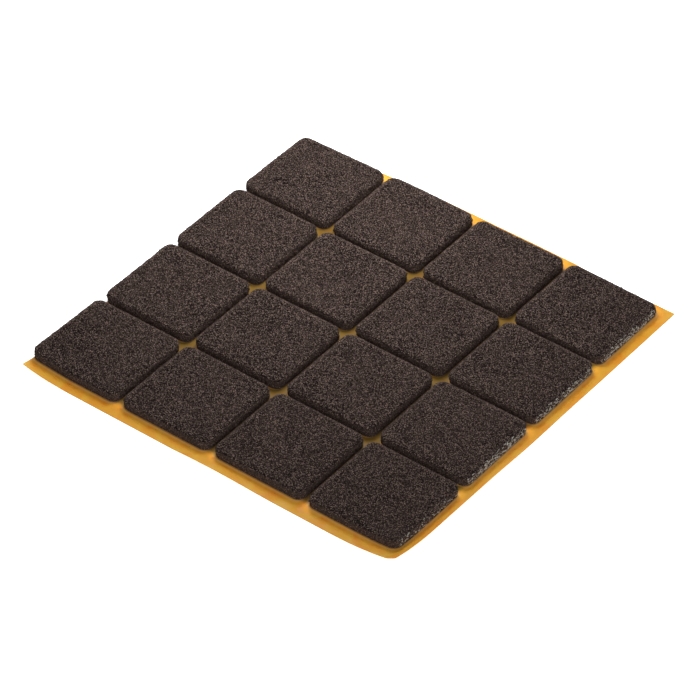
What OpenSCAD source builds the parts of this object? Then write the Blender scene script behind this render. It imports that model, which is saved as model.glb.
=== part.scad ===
// A sheet of self-adhesive square felt furniture glides on one release liner.
// Millimetres, +Z up, origin under the middle of the sheet, the liner's underside at zero height.
// Rows are lettered from the front (-Y) and columns are numbered from the left (-X).

/* [Felt pads] */
// Side of one square pad
pad_side = 28; // [20:0.5:40]
// Thickness of the felt
felt_t = 2.8; // [2:0.1:5]
// Radius of a pad's corners, seen from above
corner_r = 2.4; // [1.5:0.1:5]
// Radius of the soft edge round the top of a pad
edge_r = 0.35; // [0.2:0.05:1.2]
// Gap between neighbouring pads
pad_gap = 2; // [1.5:0.1:5]
// Pads along X
columns = 4; // [1:1:5]
// Pads along Y
rows = 4; // [1:1:5]

/* [Adhesive films] */
// Thickness of the adhesive film under each pad
adhesive_t = 0.15; // [0.05:0.05:0.3]

/* [Release liner] */
// Thickness of the liner paper
liner_t = 0.12; // [0.08:0.01:0.3]
// How far the pads on the left stand out past the liner's trimmed edge
overhang_left = 0.7; // [0:0.1:1.5]
// Bare liner past the pads on the right
margin_right = 3.3; // [2:0.1:8]
// Bare liner past the pads at the front
margin_front = 4.1; // [3:0.1:8]
// Bare liner past the pads at the back
margin_back = 2.5; // [2:0.1:8]

/* [Curled corners] */
// Angle at which the tip of the front right corner stands up
right_curl_angle = 49; // [10:1:60]
// Way the front right corner curls away from its pad, turned from +X
right_curl_way = -45; // [-75:5:-15]
// Angle at which the tip of the front left corner stands up
left_curl_angle = 54; // [10:1:60]
// Way the front left corner curls away from its pad, turned from +X
left_curl_way = -120; // [-140:5:-100]
// Flat liner kept between a pad's rounded corner and the curl
curl_clearance = 0.2; // [0.1:0.05:1]

/* [Hidden] */
// How far cutting shapes run past what they cut
overrun = 1;
// Steps round a full circle
$fn = 64;

pitch = pad_side + pad_gap;
field_x = (columns - 1) * pitch + pad_side;
field_y = (rows - 1) * pitch + pad_side;
sheet_x = field_x + margin_right;
liner_x = sheet_x - overhang_left;
liner_y = margin_front + field_y + margin_back;

// Left side of the whole sheet, where its first pads end, and the liner's front left corner
sheet_left = -sheet_x / 2;
liner_left = sheet_left + overhang_left;
liner_front = -liner_y / 2;

// Centre of the first pad, at the front left
first_x = sheet_left + pad_side / 2;
first_y = liner_front + margin_front + pad_side / 2;

// Levels of the stacked layers
film_z = liner_t;
felt_z = film_z + adhesive_t;

// Centre of a pad's round corner, from the pad's own centre
corner_in = pad_side / 2 - corner_r;

// Centres of the two round pad corners that the liner's corners curl away from
left_round = [first_x - corner_in, first_y - corner_in];
right_round = [first_x + (columns - 1) * pitch + corner_in, first_y - corner_in];

// Distance from a round pad corner's centre to where the curl starts
fold_out = corner_r + curl_clearance;

// Flat distance from the start of each curl to the liner's own corner
function run_to(tip, round_centre, way) =
    (tip - round_centre) * [cos(way), sin(way)] - fold_out;
left_run = run_to([liner_left, liner_front], left_round, left_curl_way);
right_run = run_to([liner_left + liner_x, liner_front], right_round, right_curl_way);

// Radius of the paper's underside in each curl
left_curl_r = left_run / sin(left_curl_angle);
right_curl_r = right_run / sin(right_curl_angle);

// Uncut paper that a curled corner is trimmed from: its width along the fold and its spare turn
curl_width = 2 * pad_side;
spare_turn = 10;

felt_colour = "#423733";
film_colour = "#957b55";
liner_colour = "#dfa43f";

// Names of the nodes
row_letters = "abcde";
function place_name(col, row) = str(row_letters[row], col + 1);
function pad_name(col, row) = str("felt_pad_", place_name(col, row));
function film_name(col, row) = str("adhesive_film_", place_name(col, row));
places = [for (row = [0 : rows - 1]) for (col = [0 : columns - 1]) [col, row]];

// Half of a pad's rim in section: from the corner's centre out to the side, rounded at the top
module rim_section(height, round_r) {
    difference() {
        square([corner_r, height]);
        if (round_r > 0)
            translate([corner_r - round_r, height - round_r])
                difference() {
                    square(round_r + overrun);
                    circle(round_r);
                }
    }
}

// A square plate with round corners, centred, its top edge rounded by round_r
module die_cut_square(height, round_r) {
    flat = 2 * corner_in;
    translate([-corner_in, -corner_in, 0])
        cube([flat, flat, height]);
    for (turn = [0 : 90 : 270])
        rotate(turn) {
            translate([corner_in, corner_in, 0])
                rotate([90, 0, 0])
                    linear_extrude(flat)
                        rim_section(height, round_r);
            translate([corner_in, corner_in, 0])
                rotate_extrude(angle = 90)
                    rim_section(height, round_r);
        }
}

// Moves to one pad's place on the sheet
module at_place(col, row, z) {
    translate([first_x + col * pitch, first_y + row * pitch, z])
        children();
}

// One felt pad
module felt_pad(col, row) {
    color(felt_colour)
        at_place(col, row, felt_z)
            die_cut_square(felt_t, edge_r);
}

// The adhesive film laminated under one pad, cut with it
module adhesive_film(col, row) {
    color(film_colour)
        at_place(col, row, film_z)
            die_cut_square(adhesive_t, 0);
}

// Moves to the fold line beside a round pad corner, with +X pointing out over the curl
module at_fold(round_centre, way) {
    translate([round_centre[0], round_centre[1], 0])
        rotate(way)
            translate([fold_out, 0, 0])
                children();
}

// Everything outside the fold line, through the thickness of the flat paper
module past_fold() {
    translate([0, -liner_y, -overrun])
        cube([liner_x, 2 * liner_y, liner_t + 2 * overrun]);
}

// Paper that curls up from the fold line, longer than the corner that is trimmed from it
module curled_paper(curl_r, angle) {
    translate([0, curl_width / 2, curl_r])
        rotate([90, 90, 0])
            rotate_extrude(angle = angle + spare_turn)
                translate([curl_r - liner_t, 0])
                    square([liner_t, curl_width]);
}

// The liner's rectangle, raised to a height
module liner_outline(height) {
    translate([liner_left, liner_front, 0])
        cube([liner_x, liner_y, height]);
}

// The one sheet of coated paper that carries every pad
module release_liner() {
    color(liner_colour) {
        difference() {
            liner_outline(liner_t);
            at_fold(right_round, right_curl_way) past_fold();
            at_fold(left_round, left_curl_way) past_fold();
        }
        intersection() {
            liner_outline(pad_side);
            at_fold(right_round, right_curl_way) curled_paper(right_curl_r, right_curl_angle);
        }
        intersection() {
            liner_outline(pad_side);
            at_fold(left_round, left_curl_way) curled_paper(left_curl_r, left_curl_angle);
        }
    }
}

release_liner();
for (p = places) {
    felt_pad(p[0], p[1]);
    adhesive_film(p[0], p[1]);
}
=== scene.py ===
"""Looks of a sheet of felt furniture glides: sixteen die-cut squares on an amber release liner.

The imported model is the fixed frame, in metres. Every felt square, adhesive film and the liner is
modelled here as the real piece looks, in the space that its solid holds, and rides on its body.
"""

import logging
import math
from abc import ABC, abstractmethod
from collections.abc import Callable
from dataclasses import dataclass, field
from enum import Enum

import bpy
import numpy as np
from mathutils import Matrix, Vector


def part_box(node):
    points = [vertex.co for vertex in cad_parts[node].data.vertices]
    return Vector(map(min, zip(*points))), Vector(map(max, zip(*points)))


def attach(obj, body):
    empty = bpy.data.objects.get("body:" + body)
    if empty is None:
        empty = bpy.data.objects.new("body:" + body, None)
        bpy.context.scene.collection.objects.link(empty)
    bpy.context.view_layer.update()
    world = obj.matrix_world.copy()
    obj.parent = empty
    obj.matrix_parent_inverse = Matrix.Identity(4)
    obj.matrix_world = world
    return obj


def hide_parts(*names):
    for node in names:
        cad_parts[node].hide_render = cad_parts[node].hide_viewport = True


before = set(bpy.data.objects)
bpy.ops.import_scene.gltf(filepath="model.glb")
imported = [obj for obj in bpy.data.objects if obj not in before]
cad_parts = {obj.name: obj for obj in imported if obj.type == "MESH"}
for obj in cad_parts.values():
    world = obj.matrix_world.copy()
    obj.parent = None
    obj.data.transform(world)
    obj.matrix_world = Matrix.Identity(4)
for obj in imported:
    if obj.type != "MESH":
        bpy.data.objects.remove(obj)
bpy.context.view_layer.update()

MM = 0.001  # metres in a millimetre
BAKE_MAP = "OFBake"  # name of the UV map that each felt square gets
CORNER_RADIUS = 2.4 * MM  # of a die-cut square, seen from above
TINY = 0.01 * MM  # heights that differ by less count as one
DOWNWARDS = -0.9  # a face whose normal is lower than this looks down
MIDDLE = 0.5  # of a cloud pattern's values
SHARP = math.radians(50)  # the bend above which an edge is shaded as a sharp one

log = logging.getLogger("glide_sheet")

Colour = tuple[float, float, float]
Socket = bpy.types.NodeSocket


class Direction(Enum):
    """The way in which a relief pushes the points of a mesh."""

    OUTWARDS = "NORMAL"
    BACKWARDS = "Y"
    UPWARDS = "Z"


class Selected(Enum):
    """What is selected in edit mode: Blender's name for it, and the mesh's list of them."""

    EDGES = ("EDGE", "edges")
    FACES = ("FACE", "polygons")


class Workbench:
    """Short calls for modelling with Blender's own operators."""

    @staticmethod
    def deselect() -> None:
        """Leaves nothing selected, so that an operator acts on what is picked next."""
        bpy.ops.object.select_all(action="DESELECT")

    @staticmethod
    def pick(piece: bpy.types.Object) -> None:
        """Makes one object the selected and active one.

        Args:
            piece: The object to work on.
        """
        Workbench.deselect()
        piece.select_set(True)
        bpy.context.view_layer.objects.active = piece

    @staticmethod
    def done() -> None:
        """Goes back to object mode."""
        bpy.ops.object.mode_set(mode="OBJECT")

    @staticmethod
    def _select(piece: bpy.types.Object, kind: Selected, wanted: list[bool]) -> None:
        """Opens an object in edit mode with some of its edges or faces selected.

        Args:
            piece: The object to edit.
            kind: What is selected there.
            wanted: Whether each of them is.
        """
        mode, parts = kind.value
        Workbench.pick(piece)
        bpy.ops.object.mode_set(mode="EDIT")
        bpy.ops.mesh.select_mode(type=mode)
        bpy.ops.mesh.select_all(action="DESELECT")
        Workbench.done()
        getattr(piece.data, parts).foreach_set("select", wanted)
        bpy.ops.object.mode_set(mode="EDIT")

    @staticmethod
    def select_edges(piece: bpy.types.Object, test: Callable[[Vector, Vector], bool]) -> None:
        """Opens an object in edit mode with the edges selected whose two ends pass."""
        ends = [[piece.data.vertices[i].co for i in edge.vertices] for edge in piece.data.edges]
        Workbench._select(piece, Selected.EDGES, [test(*pair) for pair in ends])

    @staticmethod
    def select_faces(piece: bpy.types.Object, test: Callable[[Vector, Vector], bool]) -> None:
        """Opens an object in edit mode with the faces selected whose middle and normal pass."""
        wanted = [test(face.center, face.normal) for face in piece.data.polygons]
        Workbench._select(piece, Selected.FACES, wanted)

    @staticmethod
    def apply(piece: bpy.types.Object) -> None:
        """Applies every modifier of an object, in order.

        Args:
            piece: The object whose modifiers become part of its mesh.
        """
        Workbench.pick(piece)
        for name in [modifier.name for modifier in piece.modifiers]:
            bpy.ops.object.modifier_apply(modifier=name)

    @staticmethod
    def copy(piece: bpy.types.Object, name: str, place: Vector) -> bpy.types.Object:
        """Copies an object with a mesh of its own, and puts its new place into that mesh.

        Args:
            piece: The object to copy.
            name: The name of the copy.
            place: Where the copy's middle goes.

        Returns:
            The copy, with its object at the origin.
        """
        twin = piece.copy()
        twin.data = piece.data.copy()
        twin.name = twin.data.name = name
        bpy.context.collection.objects.link(twin)
        twin.location = place
        Workbench.pick(twin)
        bpy.ops.object.transform_apply(location=True, rotation=True, scale=True)
        return twin

    @staticmethod
    def relief(
        piece: bpy.types.Object,
        texture: bpy.types.Texture | None,
        height: float,
        group: str,
        direction: Direction,
    ) -> None:
        """Adds a modifier that pushes a mesh in and out by a texture.

        Args:
            piece: The object to push.
            texture: The pattern, read at the mesh's own coordinates, or None for an even push.
            height: From the pattern's lowest to its highest, in metres.
            group: The vertex group that says where the push is felt.
            direction: The way of the push.
        """
        push = piece.modifiers.new("relief", "DISPLACE")
        push.texture_coords = "LOCAL"
        push.strength = height
        push.direction = direction.value
        push.vertex_group = group
        push.mid_level = 0.0
        if texture is not None:
            push.texture = texture
            push.mid_level = MIDDLE

    @staticmethod
    def weigh(piece: bpy.types.Object, group: str, weights: np.ndarray, steps: int = 100) -> None:
        """Gives an object a vertex group, with its weights set in even steps.

        Args:
            piece: The object that gets the group.
            group: The group's name.
            weights: One weight from 0 to 1 for each point of the mesh.
            steps: How many steps there are from 0 to 1.
        """
        held = piece.vertex_groups.new(name=group)
        ranks = np.round(np.clip(weights, 0.0, 1.0) * steps).astype(int)
        for rank in np.unique(ranks[ranks > 0]):
            held.add(np.flatnonzero(ranks == rank).tolist(), rank / steps, "REPLACE")

    @staticmethod
    def _vectors(piece: bpy.types.Object, kind: str) -> np.ndarray:
        """Reads a vector of each point of a mesh.

        Args:
            piece: The object to read.
            kind: The vector's name in Blender.

        Returns:
            One row of x, y and z for each point.
        """
        flat = np.empty(len(piece.data.vertices) * 3)
        piece.data.vertices.foreach_get(kind, flat)
        return flat.reshape(-1, 3)

    @staticmethod
    def points(piece: bpy.types.Object) -> np.ndarray:
        """Reads where the points of a mesh are, in metres."""
        return Workbench._vectors(piece, "co")

    @staticmethod
    def normals(piece: bpy.types.Object) -> np.ndarray:
        """Reads which way the points of a mesh face."""
        return Workbench._vectors(piece, "normal")

    @staticmethod
    def mark(piece: bpy.types.Object, name: str, values: np.ndarray) -> None:
        """Writes a value for each point of a mesh, for its material to read by name."""
        piece.data.attributes.new(name, "FLOAT", "POINT")
        piece.data.attributes[name].data.foreach_set("value", values.astype(np.float32))

    @staticmethod
    def shade(piece: bpy.types.Object, angle: float) -> None:
        """Shades a finished mesh smooth, but for the edges that bend by more than an angle."""
        Workbench.pick(piece)
        bpy.ops.object.shade_smooth_by_angle(angle=angle)

    @staticmethod
    def dress(piece: bpy.types.Object, material: bpy.types.Material) -> None:
        """Gives an object one material."""
        piece.data.materials.clear()
        piece.data.materials.append(material)


class Wiring:
    """A node tree that is being filled, with short calls for the nodes that finishes use."""

    def __init__(self, tree: bpy.types.NodeTree) -> None:
        """Takes the tree to fill, which starts empty."""
        self.tree = tree
        self.tree.nodes.clear()

    @classmethod
    def material(cls, name: str) -> tuple[bpy.types.Material, "Wiring"]:
        """Starts a material.

        Args:
            name: The material's name.

        Returns:
            The material, and its tree to fill.
        """
        made = bpy.data.materials.new(name)
        made.use_nodes = True
        return made, cls(made.node_tree)

    def node(
        self, kind: str, feeds: dict[str | int, object] | None = None, **settings: object
    ) -> bpy.types.Node:
        """Adds a node.

        Args:
            kind: The node's type.
            feeds: What its inputs are fed, by name or number.
            settings: Properties of the node, by name.

        Returns:
            The new node.
        """
        made = self.tree.nodes.new(kind)
        for name, setting in settings.items():
            setattr(made, name, setting)
        for socket, source in (feeds or {}).items():
            self.feed(made.inputs[socket], source)
        return made

    def feed(self, target: Socket, source: object) -> None:
        """Links a socket to another one, or sets its value.

        Args:
            target: The input to feed.
            source: An output socket, a number, a colour or a vector.
        """
        if isinstance(source, Socket):
            self.tree.links.new(source, target)
        elif target.type == "RGBA":
            target.default_value = (*source, 1.0)
        else:
            target.default_value = source

    def math(self, operation: str, first: object, second: object = 0.0) -> Socket:
        """Adds a sum of one or two values, of a kind that Blender names."""
        return self.node("ShaderNodeMath", {0: first, 1: second}, operation=operation).outputs[0]

    def plus(self, first: object, second: object) -> Socket:
        """Adds the sum of two values."""
        return self.math("ADD", first, second)

    def times(self, first: object, second: object) -> Socket:
        """Adds the product of two values."""
        return self.math("MULTIPLY", first, second)

    def inverse(self, value: object) -> Socket:
        """Adds what a value leaves of 1."""
        return self.math("SUBTRACT", 1.0, value)

    def ramp(self, value: object, low: float, high: float, smooth: bool = True) -> Socket:
        """Adds a ramp from 0 to 1, flat beyond its ends.

        Args:
            value: What the ramp reads.
            low: The value at which it is 0.
            high: The value at which it is 1.
            smooth: Whether it eases in and out.

        Returns:
            The ramp's socket.
        """
        feeds = {"Value": value, "From Min": low, "From Max": high}
        easing = "SMOOTHSTEP" if smooth else "LINEAR"
        made = self.node("ShaderNodeMapRange", feeds, clamp=True, interpolation_type=easing)
        return made.outputs["Result"]

    def mix(self, factor: object, first: object, second: object) -> Socket:
        """Adds a mix of two colours.

        Args:
            factor: How much of the second colour shows.
            first: The first colour.
            second: The second colour.

        Returns:
            The mixed colour's socket.
        """
        made = self.node("ShaderNodeMix", {"Factor": factor}, data_type="RGBA")
        inputs = [socket for socket in made.inputs if socket.type == "RGBA"]
        for socket, colour in zip(inputs, (first, second), strict=True):
            self.feed(socket, colour)
        return next(socket for socket in made.outputs if socket.type == "RGBA")

    def noise(
        self, vector: Socket, scale: object, detail: float, distortion: float = 0.0
    ) -> Socket:
        """Adds clouds with a middle of 0.5, so many to the metre, with finer layers in them."""
        feeds = {"Vector": vector, "Scale": scale, "Detail": detail, "Distortion": distortion}
        return self.node("ShaderNodeTexNoise", feeds).outputs["Fac"]

    def specks(self, vector: Socket, scale: object) -> Socket:
        """Adds small specks, each with a brightness of its own and dark all round.

        Args:
            vector: Where the pattern is read.
            scale: Specks to the metre.

        Returns:
            The socket of the specks' brightness, from 0 between them to 1.
        """
        cells = self.node("ShaderNodeTexVoronoi", {"Vector": vector, "Scale": scale}).outputs
        drawn = self.node("ShaderNodeSeparateColor", {0: cells["Color"]}).outputs[0]
        fewer_bright = self.math("POWER", drawn, 2.0)
        own = self.ramp(fewer_bright, low=-0.2, high=1.0, smooth=False)
        return self.times(own, self.inverse(self.ramp(cells["Distance"], low=0.2, high=0.63)))

    def stirred(self, vector: Socket, scale: object, reach: object) -> Socket:
        """Stirs coordinates, so that the pattern read at them is drawn out this way and that.

        Args:
            vector: The coordinates.
            scale: Swirls to the metre.
            reach: How far a point can be carried, in metres.

        Returns:
            The stirred coordinates' socket.
        """
        feeds = {"Vector": vector, "Scale": scale, "Detail": 0.0}
        swirl = self.node("ShaderNodeTexNoise", feeds).outputs["Color"]
        sway = self.node("ShaderNodeVectorMath", {0: swirl, "Scale": reach}, operation="SCALE")
        feeds = {0: vector, 1: sway.outputs[0]}
        return self.node("ShaderNodeVectorMath", feeds, operation="ADD").outputs[0]

    def stretched(self, vector: Socket, factors: tuple[float, float, float]) -> Socket:
        """Multiplies coordinates along each axis; a small factor draws a pattern out along it."""
        feeds = {0: vector, 1: factors}
        return self.node("ShaderNodeVectorMath", feeds, operation="MULTIPLY").outputs[0]

    def place(self) -> Socket:
        """Adds the coordinates of the object's own frame, in metres."""
        return self.node("ShaderNodeTexCoord").outputs["Object"]

    def attribute(self, name: str) -> Socket:
        """Adds a value that is marked on the points of the mesh, 0 where it isn't."""
        return self.node("ShaderNodeAttribute", attribute_name=name).outputs["Fac"]

    def group(
        self, shared: bpy.types.NodeTree, vector: Socket, size: float
    ) -> bpy.types.bpy_prop_collection:
        """Places a shared pattern with features of a size in metres, and gives its outputs."""
        feeds = {"Vector": vector, "Scale": 1.0 / size}
        return self.node("ShaderNodeGroup", feeds, node_tree=shared).outputs

    def bump(self, height: Socket, depth: float, strength: float) -> Socket:
        """Adds the normals of a fine relief, as high as a depth in metres."""
        feeds = {"Height": height, "Distance": depth, "Strength": strength}
        return self.node("ShaderNodeBump", feeds).outputs["Normal"]

    def surface(self, shader: bpy.types.Node, kind: str = "ShaderNodeOutputMaterial") -> None:
        """Puts a shader out as the tree's result."""
        self.node(kind, {"Surface": shader.outputs[0]})


class SharedPatterns:
    """The node groups that more than one finish uses, each built once."""

    swirls_to_fibre: float = 0.4
    swirl_reach: float = 0.6  # in fibres
    blots_to_cloud: float = 3.2
    dots_to_cloud: float = 14.0

    def __init__(self) -> None:
        """Builds the groups."""
        self.tangle = self._tangle()
        self.clouding = self._clouding()

    @staticmethod
    def _start(name: str, outputs: tuple[str, ...]) -> tuple[Wiring, Socket, Socket]:
        """Starts a group that reads a vector and a scale.

        Args:
            name: The group's name.
            outputs: The names of its outputs, which are numbers.

        Returns:
            The group to fill, its vector and its scale.
        """
        shared = bpy.data.node_groups.new(name, "ShaderNodeTree")
        shared.interface.new_socket("Vector", in_out="INPUT", socket_type="NodeSocketVector")
        shared.interface.new_socket("Scale", in_out="INPUT", socket_type="NodeSocketFloat")
        for socket in outputs:
            shared.interface.new_socket(socket, in_out="OUTPUT", socket_type="NodeSocketFloat")
        wiring = Wiring(shared)
        given = wiring.node("NodeGroupInput").outputs
        return wiring, given["Vector"], given["Scale"]

    def _tangle(self) -> bpy.types.NodeTree:
        """Builds tangled short fibres, as felt, tissue and paper all show them.

        Returns:
            A group that puts out the fibres and short bits of fibre.
        """
        wiring, vector, scale = self._start("tangled_fibres", ("Fibres", "Bits"))
        cloud = wiring.noise(vector, scale, detail=2.0, distortion=1.6)
        ridge = wiring.math("ABSOLUTE", wiring.math("SUBTRACT", cloud, MIDDLE))
        fibres = wiring.inverse(wiring.ramp(ridge, low=0.015, high=0.09))
        swirls = wiring.times(scale, self.swirls_to_fibre)
        reach = wiring.math("DIVIDE", self.swirl_reach, scale)
        bits = wiring.specks(wiring.stirred(vector, swirls, reach), scale)
        wiring.node("NodeGroupOutput", {"Fibres": fibres, "Bits": bits})
        return wiring.tree

    def _clouding(self) -> bpy.types.NodeTree:
        """Builds soft clouds with small spots, as in an uneven film or coating.

        Returns:
            A group that puts out broad clouds, smaller blots and dots.
        """
        wiring, vector, scale = self._start("soft_clouding", ("Clouds", "Blots", "Dots"))
        clouds = wiring.noise(vector, scale, detail=4.0, distortion=0.8)
        more, most = (wiring.times(scale, n) for n in (self.blots_to_cloud, self.dots_to_cloud))
        blots = wiring.noise(vector, more, detail=2.0, distortion=0.4)
        dots = wiring.noise(vector, most, detail=0.0)
        wiring.node("NodeGroupOutput", {
            "Clouds": wiring.ramp(clouds, low=0.3, high=0.7),
            "Blots": wiring.ramp(blots, low=0.35, high=0.65),
            "Dots": wiring.ramp(dots, low=0.76, high=0.82),
        })
        return wiring.tree


@dataclass(frozen=True)
class FeltFinish:
    """Needled brown felt: dark hollows, brown tufts, duller cut sides with pale frayed threads;
    painted light on rims and sides.
    """

    hollow: Colour = (0.004, 0.0026, 0.0021)
    crest: Colour = (0.286, 0.201, 0.172)
    # the cut sides' own smoother tone, made lighter as painted light where little light reaches
    # them
    cut: Colour = (0.072, 0.0485, 0.040)
    thread: Colour = (0.52, 0.50, 0.445)
    sheen: Colour = (0.75, 0.63, 0.57)
    sheen_weight: float = 0.05
    sheen_roughness: float = 0.35
    roughness: float = 0.95
    gloss: float = 0.03
    fibre_size: float = 0.31 * MM
    fibre_relief: float = 0.5
    tone_size: float = 14.0 * MM
    rim_highlight: float = 0.09  # painted highlight: how much lighter the back and left rims are
    side_painted_light: float = 0.08  # painted light: how much lighter the cut sides are
    cloud_evenness: float = 0.1  # how far the clouds even the grain out
    side_evenness: float = 0.3  # and how far it is evened out on the cut sides
    thread_size: float = 0.37 * MM
    thread_stretch: tuple[float, float, float] = (1.0, 0.35, 1.0)
    thread_edge: tuple[float, float] = (0.66, 0.7)
    fray_push: float = 0.16  # how much a frayed place helps threads to show
    fray_edge: float = 0.3
    bump_depth: float = 0.12 * MM
    bump_strength: float = 0.7

    def material(self, patterns: SharedPatterns) -> bpy.types.Material:
        """Builds the felt's material.

        Args:
            patterns: The shared node groups.

        Returns:
            The material.
        """
        made, wiring = Wiring.material("brown_felt")
        place = wiring.place()
        frayed, side, back_rim_highlight = (wiring.attribute(name) for name in ("frayed", "side", "back_rim_highlight"))
        tangle = wiring.group(patterns.tangle, place, self.fibre_size)
        tone = wiring.group(patterns.clouding, place, self.tone_size)
        # painted light: a highlight on the back and left rims, and lighter cut sides
        painted_lightening = wiring.plus(
            wiring.times(back_rim_highlight, self.rim_highlight), wiring.times(side, self.side_painted_light)
        )
        crested = wiring.mix(wiring.plus(tangle["Bits"], painted_lightening), self.hollow, self.crest)
        evened = wiring.times(tone["Clouds"], self.cloud_evenness)
        smooth = wiring.math("MAXIMUM", wiring.times(side, self.side_evenness), evened)
        # the cut sides' tone, partly painted light
        sided = wiring.mix(smooth, crested, self.cut)
        drawn = wiring.stretched(place, self.thread_stretch)
        strands = wiring.noise(drawn, 1.0 / self.thread_size, detail=1.0, distortion=0.8)
        raised = wiring.plus(strands, wiring.times(frayed, self.fray_push))
        loose = wiring.ramp(frayed, 0.0, self.fray_edge)
        threads = wiring.times(wiring.ramp(raised, *self.thread_edge), loose)
        height = wiring.plus(wiring.times(tangle["Fibres"], self.fibre_relief), tangle["Bits"])
        wiring.surface(wiring.node("ShaderNodeBsdfPrincipled", {
            "Base Color": wiring.mix(threads, sided, self.thread),
            "Roughness": self.roughness,
            "Specular IOR Level": self.gloss,
            "Sheen Weight": self.sheen_weight,
            "Sheen Roughness": self.sheen_roughness,
            "Sheen Tint": self.sheen,
            "Normal": wiring.bump(height, self.bump_depth, self.bump_strength),
        }))
        return made


@dataclass(frozen=True)
class AdhesiveFinish:
    """Tacky honey-coloured film with the tissue that carries it showing through."""

    honey: Colour = (0.20, 0.115, 0.04)
    thick: Colour = (0.12, 0.066, 0.024)
    tissue: Colour = (0.30, 0.20, 0.095)
    tissue_size: float = 1.6 * MM
    tissue_share: float = 0.5
    cloud_size: float = 9.0 * MM
    shine: tuple[float, float] = (-0.6, 2.4)  # blot values that are mirror-smooth and matt
    coat_weight: float = 0.3
    coat_roughness: float = 0.2
    bump_depth: float = 0.03 * MM
    bump_strength: float = 0.5

    def material(self, patterns: SharedPatterns) -> bpy.types.Material:
        """Builds the adhesive's material.

        Args:
            patterns: The shared node groups.

        Returns:
            The material.
        """
        made, wiring = Wiring.material("tacky_adhesive")
        place = wiring.place()
        tangle = wiring.group(patterns.tangle, place, self.tissue_size)
        cloud = wiring.group(patterns.clouding, place, self.cloud_size)
        body = wiring.mix(cloud["Clouds"], self.thick, self.honey)
        fibred = wiring.times(tangle["Fibres"], self.tissue_share)
        height = wiring.plus(cloud["Blots"], tangle["Fibres"])
        wiring.surface(wiring.node("ShaderNodeBsdfPrincipled", {
            "Base Color": wiring.mix(fibred, body, self.tissue),
            "Roughness": wiring.ramp(cloud["Blots"], *self.shine, smooth=False),
            "Coat Weight": self.coat_weight,
            "Coat Roughness": self.coat_roughness,
            "Normal": wiring.bump(height, self.bump_depth, self.bump_strength),
        }))
        return made


@dataclass(frozen=True)
class PadGrid:
    """Where the felt squares stand on the liner, as the solids have them."""

    first: tuple[float, float]
    last: tuple[float, float]
    pitch: tuple[float, float]
    side: float

    @classmethod
    def read(cls) -> "PadGrid":
        """Reads the grid from the solids' boxes.

        Returns:
            The grid.
        """
        low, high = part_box("felt_pad_a1")
        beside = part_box("felt_pad_b2")[0]
        far_low, far_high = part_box("felt_pad_d4")
        middle, far = (low + high) / 2, (far_low + far_high) / 2
        pitch = (beside.x - low.x, beside.y - low.y)
        return cls((middle.x, middle.y), (far.x, far.y), pitch, high.x - low.x)


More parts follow.
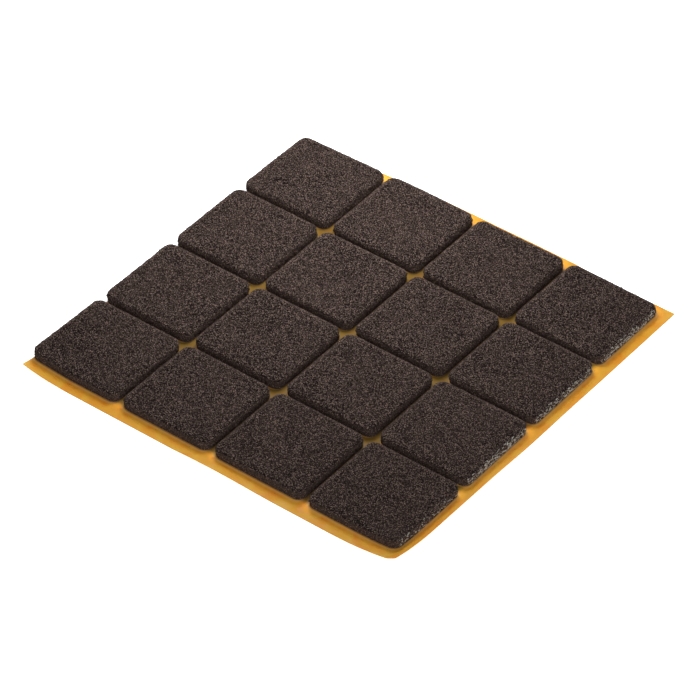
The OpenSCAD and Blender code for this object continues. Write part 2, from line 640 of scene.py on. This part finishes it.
@dataclass(frozen=True)
class LinerFinish:
    """Amber siliconised paper: cloudy coating, paper fibres, dust, scored pad outlines; painted
    shade and light round the felt.
    """

    amber: Colour = (0.87, 0.375, 0.024)
    orange: Colour = (0.86, 0.275, 0.014)
    straw: Colour = (0.90, 0.50, 0.062)
    straw_share: float = 0.45
    speck: Colour = (0.20, 0.11, 0.03)
    speck_share: float = 0.7
    foot: Colour = (0.80, 0.48, 0.18)  # painted light beside the felt, paler than the amber where the felt's shade falls
    foot_light_share: float = 0.45
    foot_light_start: float = -0.2 * MM
    foot_light_band: tuple[float, float] = (0.3 * MM, 1.2 * MM)
    outer: Colour = (0.565, 0.325, 0.035)  # painted shade: darker away from the felt, with rust-coloured stains
    rust: Colour = (0.575, 0.235, 0.017)
    outer_shade_share: float = 0.8
    outer_shade_band: tuple[float, float] = (0.6 * MM, 2.8 * MM)
    score: Colour = (0.40, 0.19, 0.03)
    score_share: float = 0.8
    score_width: float = 0.14 * MM
    # painted shade: a dark colour between the felt squares, where their shade falls
    gap_shade: Colour = (0.064, 0.052, 0.012)
    gap_shade_share: float = 0.84
    gap_shade_fade: float = 2.0 * MM  # over this, the painted gap shade thins out towards the margins
    cloud_size: float = 6.0 * MM
    paper_size: float = 0.9 * MM
    shine: tuple[float, float] = (-1.6, 2.4)  # blot values that are mirror-smooth and matt
    gloss: float = 0.12
    bump_depth: float = 0.02 * MM
    bump_strength: float = 0.35

    def material(self, patterns: SharedPatterns, grid: PadGrid) -> bpy.types.Material:
        """Builds the liner's material.

        Args:
            patterns: The shared node groups.
            grid: Where the felt squares stand.

        Returns:
            The material.
        """
        made, wiring = Wiring.material("amber_liner")
        place = wiring.place()
        tangle = wiring.group(patterns.tangle, place, self.paper_size)
        cloud = wiring.group(patterns.clouding, place, self.cloud_size)
        body = wiring.mix(cloud["Clouds"], self.orange, self.amber)
        blotted = wiring.mix(wiring.times(cloud["Blots"], self.straw_share), body, self.straw)
        dusted = wiring.mix(wiring.times(cloud["Dots"], self.speck_share), blotted, self.speck)
        away, within = self._outline(wiring, place, grid)
        # painted light: a paler band beside the felt's foot
        beside = wiring.inverse(wiring.ramp(away, *self.foot_light_band))
        near = wiring.times(beside, wiring.ramp(away, self.foot_light_start, 0.0))
        foot_lit = wiring.mix(wiring.times(near, self.foot_light_share), dusted, self.foot)
        # painted shade: darker towards the liner's outer edges, with rust-coloured stains
        shaded_and_stained = wiring.mix(cloud["Clouds"], self.rust, self.outer)
        far = wiring.times(wiring.ramp(away, *self.outer_shade_band), self.outer_shade_share)
        lit_and_shaded = wiring.mix(far, foot_lit, shaded_and_stained)
        width = self.score_width
        off_line = wiring.ramp(wiring.math("ABSOLUTE", away), width / 3, width)
        scored = wiring.times(wiring.inverse(off_line), self.score_share)
        marked = wiring.mix(scored, lit_and_shaded, self.score)
        # painted shade between the felt squares
        gap_shade_mask = wiring.times(wiring.ramp(away, 0.0, width), within)
        gap_shaded = wiring.mix(wiring.times(gap_shade_mask, self.gap_shade_share), marked, self.gap_shade)
        height = wiring.plus(cloud["Blots"], tangle["Fibres"])
        wiring.surface(wiring.node("ShaderNodeBsdfPrincipled", {
            "Base Color": wiring.mix(wiring.attribute("coated"), dusted, gap_shaded),
            "Roughness": wiring.ramp(cloud["Blots"], *self.shine, smooth=False),
            "Specular IOR Level": self.gloss,
            "Normal": wiring.bump(height, self.bump_depth, self.bump_strength),
        }))
        return made

    def _outline(self, wiring: Wiring, place: Socket, grid: PadGrid) -> tuple[Socket, Socket]:
        """Works out how far a point of the liner is from the nearest felt square's outline.

        Args:
            wiring: The material's tree.
            place: The point's coordinates.
            grid: Where the felt squares stand.

        Returns:
            The distance, below zero under the felt, and 1 between the squares or 0 in the margins.
        """
        parts = wiring.node("ShaderNodeSeparateXYZ", {0: place}).outputs
        flat = grid.side / 2 - CORNER_RADIUS
        squares, inside = [], []
        for axis, pitch in enumerate(grid.pitch):
            span = grid.last[axis] - grid.first[axis]
            run = wiring.math("SUBTRACT", parts[axis], grid.first[axis])
            index = wiring.math("ROUND", wiring.math("DIVIDE", run, pitch))
            index = wiring.math("MAXIMUM", index, 0.0)
            index = wiring.math("MINIMUM", index, float(round(span / pitch)))
            local = wiring.math("SUBTRACT", run, wiring.times(index, pitch))
            past = wiring.math("SUBTRACT", wiring.math("ABSOLUTE", local), flat)
            past = wiring.math("MAXIMUM", past, 0.0)
            squares.append(wiring.times(past, past))
            off = wiring.math("ABSOLUTE", wiring.math("SUBTRACT", run, span / 2))
            reach = (span + grid.side) / 2
            inside.append(wiring.inverse(wiring.ramp(off, reach - self.gap_shade_fade, reach)))
        length = wiring.math("SQRT", wiring.plus(*squares))
        return wiring.math("SUBTRACT", length, CORNER_RADIUS), wiring.times(*inside)


@dataclass
class PhotoCamera:
    """The camera at the photograph's viewing angle."""

    aim: tuple[float, float, float] = (1.138 * MM, -2.727 * MM, -0.033 * MM)
    azimuth: float = math.radians(35.573)
    elevation: float = math.radians(40.752)
    roll: float = math.radians(1.854)
    distance: float = 1145.5 * MM
    nearest: float = 50.0 * MM
    farthest: float = 20000.0 * MM
    lens: float = 225.96  # millimetres, on the sensor below
    sensor: float = 36.0  # millimetres

    def build(self) -> None:
        """Makes the camera and gives it to the scene."""
        data = bpy.data.cameras.new("photo_camera")
        data.lens = self.lens
        data.sensor_width = self.sensor
        data.clip_start = self.nearest
        data.clip_end = self.farthest
        camera = bpy.data.objects.new("photo_camera", data)
        bpy.context.collection.objects.link(camera)
        flat, rise = math.cos(self.elevation), math.sin(self.elevation)
        back = Vector((math.sin(self.azimuth) * flat, -math.cos(self.azimuth) * flat, rise))
        level = Vector((math.cos(self.azimuth), math.sin(self.azimuth), 0.0))
        upright = back.cross(level)
        right = level * math.cos(self.roll) + upright * math.sin(self.roll)
        axes = Matrix((right, back.cross(right), back)).transposed()
        eye = Vector(self.aim) + back * self.distance
        camera.matrix_world = Matrix.Translation(eye) @ axes.to_4x4()
        bpy.context.scene.camera = camera


@dataclass(frozen=True)
class Lamp:
    """One square lamp, in watts and metres, turned to a point on the floor."""

    name: str
    power: float
    size: float
    place: tuple[float, float, float]
    target: tuple[float, float, float] = (0.0, 0.0, 0.0)

    def build(self) -> None:
        """Hangs the lamp where the camera can't see it."""
        data = bpy.data.lights.new(self.name, "AREA")
        data.energy = self.power
        data.size = self.size
        lamp = bpy.data.objects.new(self.name, data)
        bpy.context.collection.objects.link(lamp)
        lamp.location = self.place
        way = Vector(self.place) - Vector(self.target)
        lamp.rotation_euler = way.to_track_quat("Z", "Y").to_euler()
        lamp.visible_camera = False


@dataclass
class Studio:
    """A white floor in an even white surround, with lamps above, beside and below the sheet."""

    floor_size: float = 6.0
    floor_drop: float = 0.02 * MM
    floor_reach: float = 4.0 * MM  # a ray that starts nearer to the floor goes through it
    floor_colour: Colour = (0.8, 0.8, 0.8)
    floor_glow: float = 0.75
    surround: float = 0.26
    lamps: tuple[Lamp, ...] = (
        Lamp(
            "top_lamp", power=0.267, size=0.09,
            place=(-0.036, 0.048, 0.13), target=(-0.030, 0.040, 0.0),
        ),
        Lamp("rim_lamp", power=1.6, size=0.3, place=(-0.360, 0.548, 0.200)),
        Lamp("right_fill", power=3.0, size=0.5, place=(0.500, -0.480, 0.400)),
        Lamp("under_lamp", power=1.3, size=0.5, place=(0.0, 0.0, -0.400)),
    )

    def build(self) -> None:
        """Makes the floor, the lamps and the surround."""
        bpy.context.scene.view_settings.view_transform = "Standard"
        self._floor()
        for lamp in self.lamps:
            lamp.build()
        self._surround()

    def _floor(self) -> None:
        """Lays the floor, white to the camera, holding the sheet's shadow and clear from below."""
        Workbench.deselect()
        middle = (0.0, 0.0, -self.floor_drop)
        bpy.ops.mesh.primitive_plane_add(size=self.floor_size, location=middle)
        floor = bpy.context.object
        floor.name = "studio_floor"
        made, wiring = Wiring.material("white_floor")
        path = wiring.node("ShaderNodeLightPath").outputs
        seen = wiring.math("MAXIMUM", path["Is Camera Ray"], path["Is Glossy Ray"])
        seen = wiring.math("MAXIMUM", seen, path["Is Transmission Ray"])
        matt = wiring.node("ShaderNodeBsdfDiffuse", {"Color": self.floor_colour})
        glow = wiring.node("ShaderNodeEmission", {"Strength": wiring.times(seen, self.floor_glow)})
        white = wiring.node("ShaderNodeAddShader", {0: matt.outputs[0], 1: glow.outputs[0]})
        close = wiring.math("LESS_THAN", path["Ray Length"], self.floor_reach)
        behind = wiring.node("ShaderNodeNewGeometry").outputs["Backfacing"]
        clear = wiring.node("ShaderNodeBsdfTransparent")
        wiring.surface(wiring.node("ShaderNodeMixShader", {
            0: wiring.math("MAXIMUM", close, behind), 1: white.outputs[0], 2: clear.outputs[0],
        }))
        Workbench.dress(floor, made)

    def _surround(self) -> None:
        """Fills the world with an even light that the camera sees as white."""
        world = bpy.data.worlds.new("white_surround")
        world.use_nodes = True
        bpy.context.scene.world = world
        wiring = Wiring(world.node_tree)
        seen = wiring.node("ShaderNodeLightPath").outputs["Is Camera Ray"]
        strength = wiring.math("MAXIMUM", seen, self.surround)
        light = {"Color": (1.0, 1.0, 1.0), "Strength": strength}
        wiring.surface(wiring.node("ShaderNodeBackground", light), "ShaderNodeOutputWorld")


@dataclass(frozen=True)
class CornerRise:
    """A corner of the sheet that bends up past a line, felt and all."""

    way: float
    start: float
    run: float
    height: float
    power: float

    def lift(self, points: np.ndarray) -> np.ndarray:
        """Works out how high the bend raises each point of the flat sheet, in metres."""
        out = points[:, :2] @ np.array((math.cos(self.way), math.sin(self.way)))
        return self.height * np.maximum((out - self.start) / self.run, 0.0) ** self.power


@dataclass(frozen=True)
class MarginRise:
    """A stretch of bare margin that rises from the felt to the liner's edge."""

    outwards: tuple[float, float]
    inner: float
    width: float
    along: tuple[float, float]
    stops: tuple[float, ...]
    heights: tuple[float, ...]
    power: float = 1.3
    most: float = 1.2  # widths over which the rise goes on

    def lift(self, points: np.ndarray) -> np.ndarray:
        """Works out how high the margin raises each point.

        Args:
            points: Where the flat sheet's points are.

        Returns:
            One height for each point, in metres.
        """
        out = points[:, :2] @ np.array(self.outwards)
        run = points[:, :2] @ np.array(self.along)
        across = np.clip((out - self.inner) / self.width, 0.0, self.most) ** self.power
        return across * np.interp(run, self.stops, self.heights)


@dataclass(frozen=True)
class Swell:
    """A low round rise of the sheet, felt and all."""

    centre: tuple[float, float]
    spread: tuple[float, float]
    height: float

    def lift(self, points: np.ndarray) -> np.ndarray:
        """Works out how high the swell raises each point of the flat sheet, in metres."""
        off = (points[:, :2] - np.array(self.centre)) / np.array(self.spread)
        return self.height * np.exp(-(off**2).sum(axis=1))


@dataclass
class SheetShape:
    """How the sheet departs from the flat: bent corners, wavy margins, thinner felt at the back."""

    rises: tuple[CornerRise | MarginRise | Swell, ...] = (
        Swell((-19.0 * MM, 60.0 * MM), spread=(15.0 * MM, 12.0 * MM), height=0.42 * MM),
        CornerRise(math.radians(-50), start=72.75 * MM, run=14.1 * MM, height=2.5 * MM, power=2.2),
        CornerRise(math.radians(-160), start=63.1 * MM, run=15.6 * MM, height=1.1 * MM, power=1.3),
        CornerRise(math.radians(-120), start=80.0 * MM, run=3.9 * MM, height=0.65 * MM, power=1.3),
        MarginRise(
            outwards=(1, 0), inner=57.45 * MM, width=3.2 * MM, along=(0, 1),
            stops=(-44 * MM, -20 * MM, -5 * MM, 4 * MM, 14 * MM, 26 * MM),
            heights=(1.1 * MM, 0.7 * MM, 0.04 * MM, 0.05 * MM, 0.18 * MM, 0.0),
        ),
        MarginRise(
            outwards=(0, -1), inner=58.3 * MM, width=4.0 * MM, along=(1, 0),
            stops=(-11 * MM, -4 * MM, 2 * MM, 8 * MM, 21 * MM),
            heights=(0.0, 0.32 * MM, 0.45 * MM, 0.4 * MM, 0.0),
        ),
        MarginRise(
            outwards=(0, 1), inner=59.9 * MM, width=2.4 * MM, along=(1, 0),
            stops=(-36 * MM, -28 * MM, -16 * MM, -1 * MM, 14 * MM, 28 * MM, 40 * MM),
            heights=(0.0, 0.05 * MM, 0.1 * MM, 0.55 * MM, 0.8 * MM, 0.7 * MM, 0.1 * MM),
        ),
    )
    presses: tuple[CornerRise, ...] = (
        CornerRise(math.radians(135), start=60.0 * MM, run=25.2 * MM, height=0.5 * MM, power=1.0),
        CornerRise(math.radians(45), start=66.0 * MM, run=16.9 * MM, height=0.4 * MM, power=1.0),
    )
    felt_foot: float = 0.3 * MM
    felt_height: float = 2.7 * MM
    least: float = 0.02 * MM

    def bend(self, piece: bpy.types.Object) -> None:
        """Adds modifiers that give a flat piece the sheet's shape, where it departs from flat.

        Args:
            piece: The piece, in its place on the flat sheet.
        """
        points = Workbench.points(piece)
        lift = sum(rise.lift(points) for rise in self.rises)
        squash = np.clip((points[:, 2] - self.felt_foot) / self.felt_height, 0.0, 1.0)
        press = sum(corner.lift(points) for corner in self.presses) * squash
        for group, way, run in (("press", -1.0, press), ("lift", 1.0, lift)):
            if run.max() > self.least:
                Workbench.weigh(piece, group, run / run.max())
                Workbench.relief(piece, None, way * run.max(), group, Direction.UPWARDS)


class Footing(Enum):
    """How far a square's foot stands out on its right and its front, by its place on the sheet."""

    BETWEEN = (0.22 * MM, -0.12 * MM)
    AT_THE_EDGE = (0.0, -0.12 * MM)

    @classmethod
    def of(cls, node: str, outer_column: str = "4") -> "Footing":
        """Says which footing a square has, by its node's name, which ends in its column."""
        return cls.AT_THE_EDGE if node.endswith(outer_column) else cls.BETWEEN

    def shift(self, size: Vector) -> None:
        """Moves the right and the front of what is selected, its left and its back staying put.

        Args:
            size: The width and length of the whole piece.
        """
        right, front = self.value
        grown = (1 + right / size.x, 1 + front / size.y, 1.0)
        bpy.ops.transform.resize(value=grown, center_override=(-size.x / 2, size.y / 2, 0.0))


@dataclass(frozen=True)
class Relief:
    """A cloud-like relief of the points in a vertex group."""

    name: str
    size: float
    height: float
    group: str
    depth: int = 2  # how many finer layers it has
    contrast: float = 1.0
    direction: Direction = Direction.OUTWARDS

    def texture(self) -> bpy.types.Texture:
        """Makes the relief's pattern.

        Returns:
            A texture of clouds.
        """
        made = bpy.data.textures.new(self.name, "CLOUDS")
        made.noise_scale = self.size
        made.noise_depth = self.depth
        made.contrast = self.contrast
        return made


@dataclass
class CutLayer(ABC):
    """One layer of the die-cut squares, modelled once for each footing and laid in its places."""

    finish: FeltFinish | AdhesiveFinish
    node: str  # how the layer's nodes begin
    name: str  # how its pieces' names begin
    slot: str
    reliefs: tuple[Relief, ...]
    soft: bool = False  # whether its pieces are padded ones
    shape: SheetShape = field(default_factory=SheetShape)
    corner_steps: int = 8
    sharp: float = SHARP

    def build(self, patterns: SharedPatterns) -> list[bpy.types.Object]:
        """Makes every piece of the layer in its place, on its felt square's body.

        Args:
            patterns: The shared node groups.

        Returns:
            The pieces.
        """
        material = self.finish.material(patterns)
        textures = [relief.texture() for relief in self.reliefs]
        nodes = sorted(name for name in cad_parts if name.startswith(self.node))
        low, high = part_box(nodes[0])
        blanks = {footing: self._blank(high - low, footing) for footing in Footing}
        pieces = []
        for node in nodes:
            low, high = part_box(node)
            name = node.replace(self.node, self.name)
            piece = Workbench.copy(blanks[Footing.of(node)], name, (low + high) / 2)
            self._wear(piece, node)
            for relief, texture in zip(self.reliefs, textures, strict=True):
                Workbench.relief(piece, texture, relief.height, relief.group, relief.direction)
            self.shape.bend(piece)
            Workbench.apply(piece)
            Workbench.shade(piece, self.sharp)
            Workbench.dress(piece, material)
            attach(piece, node.replace(self.node, "pad"))
            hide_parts(node)
            pieces.append(piece)
        for blank in blanks.values():
            bpy.data.objects.remove(blank)
        return pieces

    def _cut(self, size: Vector) -> bpy.types.Object:
        """Models a block about the origin with round upright edges.

        Args:
            size: Its width, length and thickness.

        Returns:
            The block, open in edit mode.
        """
        Workbench.deselect()
        bpy.ops.mesh.primitive_cube_add(size=1.0)
        block = bpy.context.object
        block.scale = size
        bpy.ops.object.transform_apply(location=False, rotation=False, scale=True)
        Workbench.select_edges(block, lambda a, b: abs(a.z - b.z) > TINY)
        bpy.ops.mesh.bevel(offset=CORNER_RADIUS, segments=self.corner_steps, affect="EDGES")
        return block

    @abstractmethod
    def _blank(self, size: Vector, footing: Footing) -> bpy.types.Object:
        """Models one piece of the layer about the origin, ready for its reliefs and its finish."""

    def _wear(self, piece: bpy.types.Object, node: str) -> None:
        """Marks the wear of a piece in its place, for a layer that shows any."""


@dataclass
class FeltPads(CutLayer):
    """The sixteen felt squares, die-cut from one sheet."""

    finish: FeltFinish = field(default_factory=FeltFinish)
    node: str = "felt_pad"
    name: str = "felt_square"
    slot: str = "felt"
    soft: bool = True
    reliefs: tuple[Relief, ...] = (
        Relief("felt_swells", size=5.0 * MM, height=0.08 * MM, group="nap", depth=1),
        Relief("felt_tufts", size=0.45 * MM, height=0.15 * MM, group="nap", contrast=2.0),
        Relief("felt_tears", size=0.8 * MM, height=0.55 * MM, group="sides", contrast=2.0),
    )
    sharp: float = math.radians(75)
    rim_radius: float = 0.55 * MM
    rim_steps: int = 4
    cell: float = 0.2 * MM
    map_angle: float = math.radians(66)
    map_margin: float = 0.006  # a share of the map's width
    base_band: float = 0.35 * MM
    side_band: float = 0.4 * MM
    highlight_band: float = 0.7 * MM
    highlight_middle: float = 0.9  # how many bands in from the edge the painted rim highlight is brightest
    fray_height: float = 3.2 * MM
    fray_foot: float = 1.2  # how frayed the foot is, cut off at 1
    tidiest: str = "felt_pad_a4"
    tidy_share: float = 0.5

    def _blank(self, size: Vector, footing: Footing) -> bpy.types.Object:
        """Models one felt square about the origin, with round corners and a soft upper rim.

        Args:
            size: Its width, length and thickness.
            footing: How far its foot stands out.

        Returns:
            The square, evenly meshed, with its map, its groups and its marks.
        """
        top = size.z / 2
        blank = self._cut(size)
        Workbench.done()
        Workbench.select_faces(blank, lambda c, n: n.z < DOWNWARDS)
        footing.shift(size)
        Workbench.done()
        Workbench.select_edges(blank, lambda a, b: min(a.z, b.z) > top - TINY)
        bpy.ops.mesh.bevel(offset=self.rim_radius, segments=self.rim_steps, affect="EDGES")
        Workbench.done()
        even = blank.modifiers.new("even_cells", "REMESH")
        even.mode = "VOXEL"
        even.voxel_size = self.cell
        Workbench.apply(blank)
        Workbench.select_faces(blank, lambda c, n: n.z < DOWNWARDS and c.z < -top + self.cell / 2)
        bpy.ops.mesh.dissolve_faces()
        bpy.ops.mesh.select_all(action="SELECT")
        bpy.ops.mesh.uv_texture_add()
        bpy.ops.uv.smart_project(angle_limit=self.map_angle, island_margin=self.map_margin)
        Workbench.done()
        blank.data.uv_layers[0].name = BAKE_MAP
        points = Workbench.points(blank)
        height = points[:, 2] + top
        nap = np.clip((height - self.cell / 2) / self.base_band, 0.0, 1.0)
        Workbench.weigh(blank, "nap", nap)
        side = np.clip((size.z - self.cell - height) / self.side_band, 0.0, 1.0)
        Workbench.weigh(blank, "sides", side * nap)
        Workbench.mark(blank, "side", side)
        # painted highlight along the back and left rims, where light from behind falls
        inwards = np.minimum(size.x / 2 + points[:, 0], size.y / 2 - points[:, 1])
        rim = np.clip(1.0 - np.abs(inwards / self.highlight_band - self.highlight_middle), 0.0, 1.0)
        Workbench.mark(blank, "back_rim_highlight", rim * (1.0 - side))
        return blank

    def _wear(self, piece: bpy.types.Object, node: str) -> None:
        """Marks the right side of an outer square, where threads hang out of the cut felt.

        Args:
            piece: The square, in its place.
            node: The name of its solid's node.
        """
        if Footing.of(node) is not Footing.AT_THE_EDGE:
            return
        low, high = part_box(node)
        points = Workbench.points(piece)
        right = np.clip((points[:, 0] - high.x + 2 * self.cell) / self.cell, 0.0, 1.0)
        depth = np.clip(self.fray_foot - (points[:, 2] - low.z) / self.fray_height, 0.0, 1.0)
        share = self.tidy_share if node == self.tidiest else 1.0
        Workbench.mark(piece, "frayed", right * depth * share)


@dataclass
class AdhesiveFilms(CutLayer):
    """The adhesive under each felt square, as wide as the square's foot."""

    finish: AdhesiveFinish = field(default_factory=AdhesiveFinish)
    node: str = "adhesive_film"
    name: str = "tacky_film"
    slot: str = "adhesive"
    reliefs: tuple[Relief, ...] = (
        Relief("adhesive_ripples", 2.2 * MM, 0.03 * MM, "underside", direction=Direction.UPWARDS),
    )
    cell: float = 0.8 * MM

    def _blank(self, size: Vector, footing: Footing) -> bpy.types.Object:
        """Models one film about the origin, cut into cells so that its underside can ripple.

        Args:
            size: Its width, length and thickness.
            footing: How far its square's foot stands out.

        Returns:
            The film, with its underside in a vertex group.
        """
        blank = self._cut(size)
        for span, normal in ((size.x, (1, 0, 0)), (size.y, (0, 1, 0))):
            cuts = round(span / self.cell)
            for i in range(1, cuts):
                at = span * (i / cuts - 0.5)
                bpy.ops.mesh.select_all(action="SELECT")
                bpy.ops.mesh.bisect(plane_co=[at * n for n in normal], plane_no=normal)
        bpy.ops.mesh.select_all(action="SELECT")
        footing.shift(size)
        Workbench.done()
        points = Workbench.points(blank)
        Workbench.weigh(blank, "underside", points[:, 2] < 0)
        return blank


@dataclass
class ReleaseLiner:
    """The siliconised paper sheet, a little askew, with curled front corners and wavy margins."""

    finish: LinerFinish = field(default_factory=LinerFinish)
    node: str = "release_liner"
    cell: float = 0.8 * MM
    skew: float = math.radians(-0.25)
    trim_band: float = 2.5 * MM
    trim_stops: tuple[float, float] = (-36.0 * MM, -22.0 * MM)
    trim_depth: float = 0.65 * MM
    shape: SheetShape = field(default_factory=SheetShape)
    slot: str = "liner_paper"

    def build(self, patterns: SharedPatterns) -> bpy.types.Object:
        """Makes the liner where its solid is.

        Args:
            patterns: The shared node groups.

        Returns:
            The liner.
        """
        low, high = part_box(self.node)
        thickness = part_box("adhesive_film_a1")[0].z - low.z
        size = high - low
        Workbench.deselect()
        across, along = (round(span / self.cell) for span in size.xy)
        bpy.ops.mesh.primitive_grid_add(x_subdivisions=across, y_subdivisions=along, size=1.0)
        liner = bpy.context.object
        liner.name = liner.data.name = "amber_liner_sheet"
        liner.scale = (size.x, size.y, 1.0)
        liner.location = ((low.x + high.x) / 2, (low.y + high.y) / 2, low.z)
        liner.rotation_euler = (0.0, 0.0, self.skew)
        bpy.ops.object.transform_apply(location=True, rotation=True, scale=True)
        self._trim(liner, high.y)
        self.shape.bend(liner)
        wall = liner.modifiers.new("paper_thickness", "SOLIDIFY")
        wall.thickness = thickness
        wall.offset = 1.0
        Workbench.apply(liner)
        Workbench.mark(liner, "coated", Workbench.normals(liner)[:, 2] > 0.0)
        Workbench.shade(liner, SHARP)
        Workbench.dress(liner, self.finish.material(patterns, PadGrid.read()))
        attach(liner, "liner")
        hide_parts(self.node)
        return liner

    def _trim(self, liner: bpy.types.Object, back: float) -> None:
        """Draws in the left part of the back edge, where the paper was cut a little short.

        Args:
            liner: The flat liner.
            back: How far back the liner's solid reaches.
        """
        points = Workbench.points(liner)
        across = np.clip((points[:, 1] - back) / self.trim_band + 1.0, 0.0, 1.0)
        along = np.interp(points[:, 0], self.trim_stops, (1.0, 0.0))
        Workbench.weigh(liner, "trim", across * along)
        Workbench.relief(liner, None, -self.trim_depth, "trim", Direction.BACKWARDS)


def report(piece: bpy.types.Object) -> None:
    """Logs a finished piece with its count of triangles."""
    triangles = sum(len(face.vertices) - 2 for face in piece.data.polygons)
    log.info("%s: %d triangles", piece.name, triangles)


def main() -> None:
    """Builds the camera, the studio and every piece of the sheet, in order."""
    logging.basicConfig(level=logging.INFO, format="%(name)s %(message)s")
    PhotoCamera().build()
    Studio().build()
    patterns = SharedPatterns()
    pieces = [ReleaseLiner().build(patterns)]
    pieces += AdhesiveFilms().build(patterns)
    pieces += FeltPads().build(patterns)
    for piece in pieces:
        report(piece)


if __name__ == "__main__":
    main()
